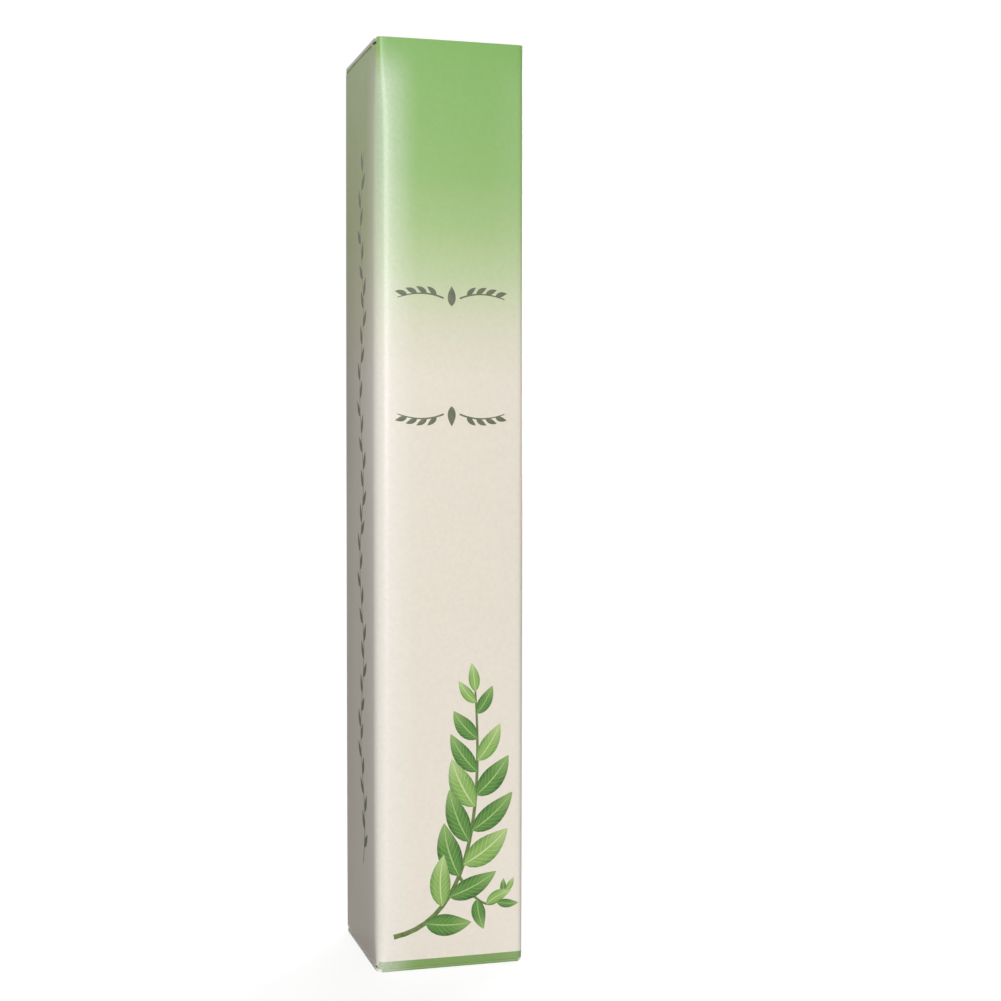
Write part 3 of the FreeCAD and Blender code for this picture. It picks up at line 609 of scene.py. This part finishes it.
def closure(end, printed, raw, edge):
    """Lid and tongue of one end as one sheet of board that bends between them."""
    rows, bend = closure_rows()
    across = evenly(1.0, -1.0, 10)
    rings = []
    for place, way, thick, width in rows:
        aside = [Vector((width * part, 0, 0)) for part in across]
        outside = [at_end(end, place + way * thick + shift) for shift in aside]
        inside = [at_end(end, place - way * thick + shift) for shift in reversed(aside)]
        rings.append(outside + inside)
    crease = [0] * 10 + [2] + [0] * 10 + [2]
    ring = [0] * 10 + [2] + [1] * 10 + [2]
    creases = len(HINGE_STEPS) - 1
    slots = crease * creases + ring * (len(rings) - 1 - creases) + [0, 2]
    points = [point for row in rings for point in row]
    made = piece(end + "_closure", points, skin(rings), [printed, raw, edge], slots)
    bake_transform(made)
    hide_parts(end + "_lid", end + "_tuck_flap")


class Design:
    """Flat printed shapes, drawn across and up one panel, each a strip along its own line."""

    def __init__(self):
        self.points, self.places, self.faces, self.slots = [], [], [], []

    def strip(self, line, widths, slot, layer=1):
        """A strip along a line of points, with the half width at each."""
        across = (1.0, 0.5, 0.0, -0.5, -1.0)
        rings = []
        for i, place in enumerate(line):
            ahead = line[min(i + 1, len(line) - 1)] - line[max(i - 1, 0)]
            side = Vector((-ahead.y, ahead.x)).normalized() * widths[i]
            ring = [(place + side, -PRINT_SINK, 1.0)]
            for part in across:
                ring.append((place + side * part, PRINT_RISE * (layer + 1 - part * part), part))
            ring.append((place - side, -PRINT_SINK, -1.0))
            rings.append(ring)
            along = i / (len(line) - 1)
            self.places += [(along, 0.5 + part / 2) for _, _, part in ring]
        faces = skin(rings, len(self.points))
        self.faces += faces
        self.slots += [slot] * len(faces)
        self.points += [(flat.x, flat.y, rise) for ring in rings for flat, rise, _ in ring]

    def leaf(self, root, angle, length, width, bend, slot, layer):
        """An oval leaf from its root, heading at an angle and bending along the way, in degrees."""
        steps = 12
        stalk, tip = 0.06 * MM, 0.03 * MM
        place = root.copy()
        line, widths = [place.copy()], [stalk]
        for i in range(steps):
            heading = math.radians(angle + bend * (i + 0.5) / steps)
            place = place + Vector((math.cos(heading), math.sin(heading))) * (length / steps)
            part = (i + 1) / steps
            line.append(place)
            oval = math.sin(math.pi * part ** 0.8) ** 0.85 if part < 1 else 0
            widths.append(max(tip, width / 2 * oval))
        self.strip(line, widths, slot, layer)

    def stem(self, start, through, stop, thick, thin, slot):
        """A stem that swings from start to stop; its points are handed back for the leaves."""
        fine = []
        for part in evenly(0, 1, 200):
            fine.append(start * (1 - part) ** 2 + through * 2 * part * (1 - part) + stop * part ** 2)
        run = [0.0]
        for before, after in zip(fine, fine[1:]):
            run.append(run[-1] + (after - before).length)
        line = []
        for goal in evenly(0, run[-1], STEM_STEPS):
            nearest = min(range(len(fine)), key=lambda i: abs(run[i] - goal))
            line.append(fine[nearest])
        self.strip(line, evenly(thick / 2, thin / 2, STEM_STEPS), slot, 0)
        return line

    def print_on(self, name, turn, materials):
        """Lays the strips on the panel that is so many quarter turns from the front one."""
        out = Vector((0, -1))
        right = Vector((1, 0))
        for _ in range(turn):
            out, right = right, -out
        placed = []
        for across, up, rise in self.points:
            flat = out * (HALF + rise) + right * across
            placed.append(drawn_in((flat.x, flat.y, up)))
        made = piece(name, placed, self.faces, materials, self.slots, self.places)
        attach(made, "carton")


def heading_at(line, i):
    """The heading of a line at one of its points, in degrees."""
    ahead = line[min(i + 1, len(line) - 1)] - line[max(i - 1, 0)]
    return math.degrees(math.atan2(ahead.y, ahead.x))


def flat_point(across, up):
    """A point on a panel, from millimetres across and up."""
    return Vector((across, up)) * MM


def leafy_branch(design, line, count, long, first, spread):
    """Leaves in turn on both sides of a stem, longest before its middle, and one at the tip."""
    for k in range(count):
        part = first + (0.96 - first) * k / (count - 1)
        i = round(part * (len(line) - 1))
        side = 1 if k % 2 else -1
        length = long * max(0.5, math.sin(math.pi * (0.22 + 0.66 * part)))
        lean = side * (spread + 5 * math.sin(2.4 * k))
        width = length * (0.42 + 0.04 * math.cos(1.7 * k))
        slot, layer = k % 3 % 2, 1 + k % 3
        design.leaf(line[i], heading_at(line, i) + lean, length * MM, width * MM, -0.5 * lean, slot, layer)
    end_heading = heading_at(line, len(line) - 1)
    design.leaf(line[-1], end_heading, 0.5 * long * MM, 0.2 * long * MM, 8, LIGHT, 2)


def front_design():
    """A leafy branch across the foot of a front or back panel, and two leaf dividers in its upper half."""
    design = Design()
    foot, swing, tip = flat_point(-8.6, 5.0), flat_point(6.0, 7.0), flat_point(3.6, 40.0)
    main = design.stem(foot, swing, tip, 0.75 * MM, 0.3 * MM, STEM)
    leafy_branch(design, main, 14, 8.4, 0.14, 48)
    low = design.stem(main[8], flat_point(5.5, 6.0), flat_point(8.4, 10.5), 0.5 * MM, 0.22 * MM, STEM)
    leafy_branch(design, low, 4, 4.6, 0.45, 50)
    for height, flip in ((96.5, 1), (80.0, -1)):
        divider(design, height, flip)
    return design


def divider(design, height, flip):
    """A small leaf between two leafy arms, turned up or down."""
    for side in (-1, 1):
        start = flat_point(side * 1.2, height)
        through = flat_point(side * 4.2, height + flip * 1.3)
        stop = flat_point(side * 8.0, height)
        arm = design.stem(start, through, stop, 0.26 * MM, 0.14 * MM, INK)
        turned = side * flip
        for i in (4, 9, 14, 19):
            design.leaf(arm[i], heading_at(arm, i) + 38 * turned, 1.8 * MM, 0.72 * MM, -20 * turned, INK, 1)
    design.leaf(flat_point(0, height - flip * 1.1), 90 * flip, 2.8 * MM, 1.2 * MM, 0, INK, 1)


def side_design():
    """A slender upright vine for a side panel."""
    design = Design()
    middle, low, high = 3.0, 14.0, 118.0
    sway, waves, steps = 1.1, 26, 120
    leaves, first, apart = 40, 3, 2.92
    line = []
    for part in evenly(0, 1, steps):
        line.append(flat_point(middle + sway * math.sin(part * waves), low + (high - low) * part))
    design.strip(line, evenly(0.16 * MM, 0.08 * MM, steps), 0, 0)
    for k in range(leaves):
        i = first + round(k * apart)
        side = 1 if k % 2 else -1
        design.leaf(line[i], heading_at(line, i) + side * 42, 2.9 * MM, 1.15 * MM, -side * 24, 0, 1)
    return design


def lead_screw(material):
    """The rod that pushes the piston: a coarse thread cut away on two flats, and a round head."""
    low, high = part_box("lead_screw")
    head_radius, head = high.x, 1.5 * MM
    radius, flat, groove, lead = 1.9 * MM, 1.35 * MM, 0.32 * MM, 4.0 * MM
    rod_top = high.z - head
    around = 48
    rings = []
    rows = round((rod_top - low.z) / lead * 14)
    for z in evenly(low.z, rod_top, rows):
        ring = []
        for k in range(around):
            angle = 2 * math.pi * k / around
            phase = (z / lead - angle / (2 * math.pi)) % 1
            cut = groove * min(1.0, max(0.0, (abs(phase - 0.5) - 0.14) / 0.12))
            reach = min(radius - cut, flat / max(abs(math.sin(angle)), 1e-6))
            ring.append((reach * math.cos(angle), reach * math.sin(angle), z))
        rings.append(ring)
    round_off = 0.2 * MM
    for reach, z in (
        (head_radius - round_off, rod_top),
        (head_radius, rod_top + round_off),
        (head_radius, high.z - round_off),
        (head_radius - round_off, high.z),
    ):
        turn = [2 * math.pi * k / around for k in range(around)]
        rings.append([(reach * math.cos(a), reach * math.sin(a), z) for a in turn])
    points = [point for row in rings for point in row]
    made = piece("threaded_screw", points, skin(rings), [material])
    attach(made, "screw")
    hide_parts("lead_screw")


def oil_column(material):
    """The oil between piston and nozzle, with rounded rims."""
    low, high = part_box("oil_charge")
    around = 64
    rim = 0.35 * MM
    angles = [math.radians(angle) for angle in evenly(0, 90, 5)]
    curve = [(1 - math.cos(angle), math.sin(angle)) for angle in angles]
    profile = [(high.x - rim * back, low.z + rim * (1 - up)) for back, up in reversed(curve)]
    profile += [(high.x, z) for z in evenly(low.z + rim, high.z - rim, 20)[1:-1]]
    profile += [(high.x - rim * back, high.z - rim * (1 - up)) for back, up in curve]
    turn = [2 * math.pi * k / around for k in range(around)]
    rings = [[(reach * math.cos(a), reach * math.sin(a), z) for a in turn] for reach, z in profile]
    made = piece("oil_column", [point for row in rings for point in row], skin(rings), [material])
    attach(made, "pen")
    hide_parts("oil_charge")
    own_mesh(made)


def brush(material):
    """The tuft of the brush as single tapered hairs, held in the ferrule and drawn to a soft point."""
    low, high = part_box("brush_tuft")
    ferrule_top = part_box("brush_ferrule")[1].z
    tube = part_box("feed_tube")[1].x
    belly = high.x
    count, sides, rows = 150, 5, 8
    points, faces = [], []
    for k in range(count):
        angle = k * HAIR_TURN
        share = math.sqrt((k + 0.5) / count)
        root = tube + 0.1 * MM + (belly * 0.72 - tube - 0.15 * MM) * share
        top = high.z - (high.z - ferrule_top) * 0.32 * share ** 3 * (0.6 + 0.4 * math.sin(5.1 * k))
        way = Vector((math.cos(angle), math.sin(angle), 0))
        rings = []
        for part in evenly(0, 1, rows):
            z = low.z + (top - low.z) * part
            rise = max(0.0, (z - ferrule_top) / (high.z - ferrule_top))
            swell = 1 + 0.3 * math.sin(math.pi * min(1.0, rise / 0.55))
            centre = way * root * swell * (1 - 0.8 * rise ** 1.8) + Vector((0, 0, z))
            thick = 0.075 * MM * (1 - 0.7 * part ** 2)
            turn = [angle + 2 * math.pi * n / sides for n in range(sides)]
            rings.append([centre + Vector((math.cos(a), math.sin(a), 0)) * thick for a in turn])
        faces += skin(rings, len(points))
        points += [point for row in rings for point in row]
    made = piece("brush_hairs", points, faces, [material], sharp=80)
    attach(made, "pen")
    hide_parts("brush_tuft")


def finish_node(name, material):
    """Gives a CAD node its material."""
    for slot in nodes[name].material_slots:
        slot.material = material


def dress_pen():
    """Materials of the pen's CAD nodes, and the pieces made here in their place."""
    white = moulded("White plastic", srgb(232, 232, 226), srgb(244, 244, 240), 0.3, 0.42)
    green = moulded("Green plastic", srgb(112, 156, 80), srgb(126, 170, 92), 0.28, 0.4)
    grey = moulded("Grey plastic", srgb(150, 152, 150), srgb(168, 170, 168), 0.35, 0.5)
    feed = moulded("Feed plastic", srgb(214, 218, 214), srgb(230, 233, 230), 0.25, 0.35)
    rubber = seal_rubber()
    metal = turned_metal()
    finishes = {
        "barrel": clear_plastic("Frosted barrel", srgb(226, 234, 218), 0.22, 0.36, 0.85),
        "cap": clear_plastic("Clear cap", srgb(238, 243, 238), 0.03, 0.09, 1.0),
        "cap_liner": white,
        "nozzle": white,
        "nozzle_seal_ring": rubber,
        "feed_tube": feed,
        "brush_ferrule": metal,
        "trim_ring": metal,
        "thread_guide": white,
        "ratchet_ring": grey,
        "twist_knob": green,
        "end_plug": white,
        "drive_sleeve": grey,
        "piston": grey,
        "piston_seal": rubber,
    }
    for name, material in finishes.items():
        finish_node(name, material)
    lead_screw(grey)
    oil_column(nail_oil())
    brush(brush_hair())


def dress_carton():
    """The folded board and its print."""
    printed, raw, edge = printed_board(), raw_board(), cut_edge()
    carton_sleeve(printed, raw, edge)
    seam_flap(printed, raw, edge)
    for end in ("top", "bottom"):
        closure(end, printed, raw, edge)
    flaps = flap_board()
    for end in ("top", "bottom"):
        for side in ("left", "right"):
            finish_node(f"{end}_dust_flap_{side}", flaps)
    deep_leaf = leaf_print("Deep leaf", srgb(58, 98, 44), srgb(92, 140, 66), srgb(176, 204, 128))
    light_leaf = leaf_print("Light leaf", srgb(98, 142, 66), srgb(138, 178, 92), srgb(214, 226, 168))
    stem = ink_print("Stem", srgb(92, 112, 58), srgb(120, 138, 78))
    ink = ink_print("Ink", srgb(92, 98, 76), srgb(108, 114, 92))
    inks = [deep_leaf, light_leaf, stem, ink]
    front_design().print_on("front_print", 0, inks)
    side_design().print_on("right_print", 1, [ink])
    front_design().print_on("back_print", 2, inks)
    side_design().print_on("left_print", 3, [ink])


def floor_material():
    """A near-white floor that looks white to the camera but for the shadow."""
    shader = Shader("Floor", Roughness=0.9)
    tree = shader.tree
    grain = shader.noise(20 * MM)
    pale = shader.ramp(grain, [(0.3, (0.30, 0.30, 0.30, 1)), (0.7, (0.32, 0.32, 0.32, 1))])
    lit = shader.add("BsdfDiffuse", {"Color": pale}).outputs[0]
    glow = shader.add("Emission", {"Color": (1, 1, 1, 1), "Strength": 0.8}).outputs[0]
    seen = shader.add("AddShader", {0: lit, 1: glow}).outputs[0]
    path = shader.add("LightPath", {})
    looked_at = shader.math("MAXIMUM", path.outputs["Is Camera Ray"], path.outputs["Is Transmission Ray"])
    both = shader.add("MixShader", {0: looked_at, 1: lit, 2: seen}).outputs[0]
    tree.links.new(both, tree.nodes["Material Output"].inputs["Surface"])
    return shader.material


def studio():
    """Floor, white surroundings, a soft key light from the front and a second one from behind."""
    reach = 3.0
    corners = [(-reach, -reach, 0), (reach, -reach, 0), (reach, reach, 0), (-reach, reach, 0)]
    floor = piece("floor", corners, [(0, 1, 2, 3)], [floor_material()])
    surroundings()
    soft_light("key", *KEY_LIGHT)
    soft_light("back", *BACK_LIGHT)


def surroundings():
    """White to the eye; a weak light otherwise, with a dark side behind the left panel."""
    world = bpy.data.worlds.new("Surroundings")
    bpy.context.scene.world = world
    world.use_nodes = True
    tree = world.node_tree

    def add(kind, operation, *inputs):
        made = tree.nodes.new("ShaderNode" + kind)
        if operation:
            made.operation = operation
        for i, given in enumerate(inputs):
            if isinstance(given, bpy.types.NodeSocket):
                tree.links.new(given, made.inputs[i])
            else:
                made.inputs[i].default_value = given
        return made

    path = add("LightPath", None).outputs
    seen = add("Math", "MAXIMUM", path["Is Camera Ray"], path["Is Transmission Ray"]).outputs[0]
    direction = add("TexCoord", None).outputs["Generated"]
    toward = add("VectorMath", "DOT_PRODUCT", direction, DARK_SIDE).outputs["Value"]
    upward = add("SeparateXYZ", None, direction).outputs["Z"]
    low = add("MapRange", None, upward, *DARK_UPWARD, DARK_DEPTH, 0.0).outputs["Result"]
    aside = add("MapRange", None, toward, *DARK_ASIDE, 0.0, 1.0).outputs["Result"]
    shade = add("Math", "SUBTRACT", 1.0, add("Math", "MULTIPLY", low, aside).outputs[0]).outputs[0]
    level = add("MapRange", None, path["Is Glossy Ray"], 0.0, 1.0, SKY_LEVEL, 1.0).outputs["Result"]
    lighting = add("Math", "MULTIPLY", shade, level).outputs[0]
    strength = add("Math", "MAXIMUM", seen, lighting).outputs[0]
    background = tree.nodes["Background"]
    background.inputs["Color"].default_value = (1, 1, 1, 1)
    tree.links.new(strength, background.inputs["Strength"])


def soft_light(name, toward, level, spread):
    """A wide far light; a level of 1 shows a facing surface in its own colour."""
    light = bpy.data.lights.new(name, "SUN")
    light.energy = level * math.pi
    light.angle = math.radians(spread)
    made = bpy.data.objects.new(name, light)
    made.rotation_euler = toward.to_track_quat("Z", "Y").to_euler()
    made.location = toward
    bpy.context.scene.collection.objects.link(made)


def camera():
    """The camera that looks at the carton from the front and a little from the left."""
    lens = bpy.data.cameras.new("camera")
    lens.sensor_fit = "HORIZONTAL"
    lens.sensor_width = 36
    lens.lens = CAMERA_LENS
    lens.shift_x = CAMERA_SHIFT
    lens.clip_start = 0.01
    made = bpy.data.objects.new("camera", lens)
    made.location = CAMERA_AT
    made.rotation_euler = CAMERA_LOOKS.to_track_quat("-Z", "Y").to_euler()
    bpy.context.scene.collection.objects.link(made)
    bpy.context.scene.camera = made
    bpy.context.scene.view_settings.view_transform = "Standard"


dress_carton()
dress_pen()
studio()
camera()
